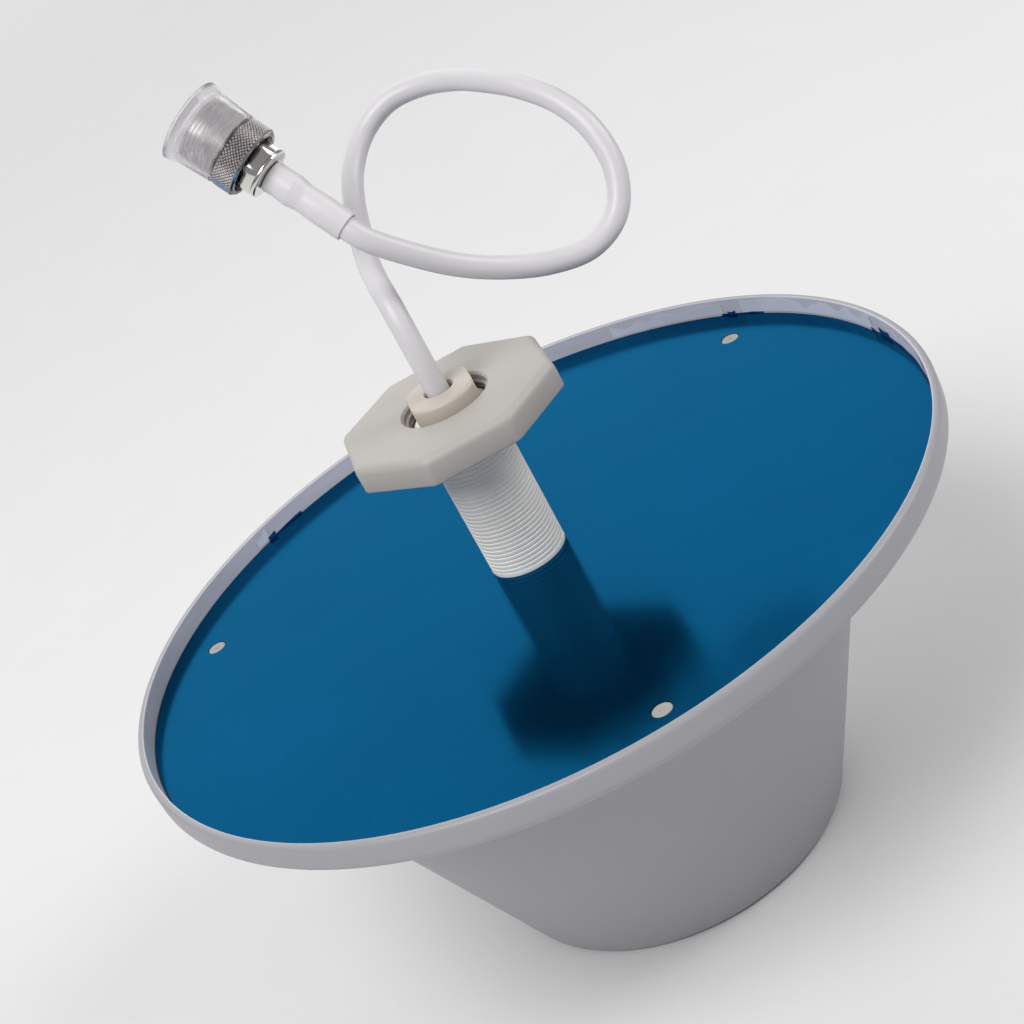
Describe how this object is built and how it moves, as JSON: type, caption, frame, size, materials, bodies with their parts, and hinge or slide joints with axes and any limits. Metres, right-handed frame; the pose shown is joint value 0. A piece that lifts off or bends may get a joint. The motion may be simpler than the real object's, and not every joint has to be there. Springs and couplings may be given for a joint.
{
  "type": "ceiling dome antenna",
  "caption": "White ceiling dome antenna with a threaded stem, octagonal clamp nut, film-covered ground plate and a short coaxial lead that ends in a capped threaded plug.",
  "frame": {"origin": "middle of the radome's flat cap, on the surface that the antenna stands on", "axes": "+Z along the threaded stem, towards the ceiling that the antenna hangs from; X and Y across the disc, the plug's flats facing X"},
  "size_m": [0.186, 0.186, 0.1956],
  "materials": {
    "white_abs": "satin moulded ABS",
    "blue_film": "thin blue protective film over bright metal",
    "aluminium": "mill-finished sheet",
    "grey_plastic": "satin moulded plastic",
    "beige_plastic": "satin moulded plastic",
    "cream_plastic": "satin moulded plastic",
    "white_pvc": "smooth PVC",
    "nickel": "bright nickel plate",
    "brass": "plain",
    "tinned_copper": "tinned sheet",
    "ptfe": "waxy",
    "nylon": "plain",
    "steel": "zinc plate",
    "rubber": "plain",
    "clear_polythene": "milky translucent polythene"
  },
  "bodies": {
    "root": {"radome": "white_abs", "ground_plate": "aluminium", "protective_film": "blue_film", "plate_rivet_1": "grey_plastic", "plate_rivet_2": "grey_plastic", "plate_rivet_3": "grey_plastic", "threaded_stem": "grey_plastic", "stem_locknut": "grey_plastic", "cable_plug": "cream_plastic", "feed_cable": "white_pvc", "braid_lug": "tinned_copper", "feed_insulator": "ptfe", "feed_pin": "brass", "radiator_cone": "tinned_copper", "loading_disc": "tinned_copper", "standoff_1": "nylon", "standoff_2": "nylon", "standoff_3": "nylon", "standoff_screw_1": "steel", "standoff_screw_2": "steel", "standoff_screw_3": "steel", "shorting_strip_1": "tinned_copper", "shorting_strip_2": "tinned_copper", "shorting_strip_3": "tinned_copper", "coax_cable": "white_pvc", "heat_shrink_sleeve": "white_pvc", "crimp_ferrule": "nickel", "connector_body": "nickel", "connector_insulator": "ptfe", "centre_pin": "brass", "snap_ring": "steel", "sealing_gasket": "rubber"},
    "clamp_nut": {"clamp_nut": "beige_plastic"},
    "coupling_nut": {"coupling_nut": "nickel"},
    "dust_cap": {"dust_cap": "clear_polythene"}
  },
  "joints": [
    {"name": "nut_travel", "type": "slide", "parent": "root", "child": "clamp_nut", "axis": [0, 0, 1], "range_m": [-0.0331, 0]},
    {"name": "coupling_turn", "type": "hinge", "parent": "root", "child": "coupling_nut", "pos_m": [-0.00883, 0.01347, 0.17474], "axis": [-0.4531, 0.427, 0.7825], "continuous": true},
    {"name": "cap_pull", "type": "slide", "parent": "coupling_nut", "child": "dust_cap", "axis": [-0.4531, 0.427, 0.7825], "range_m": [0, 0.012]}
  ]
}
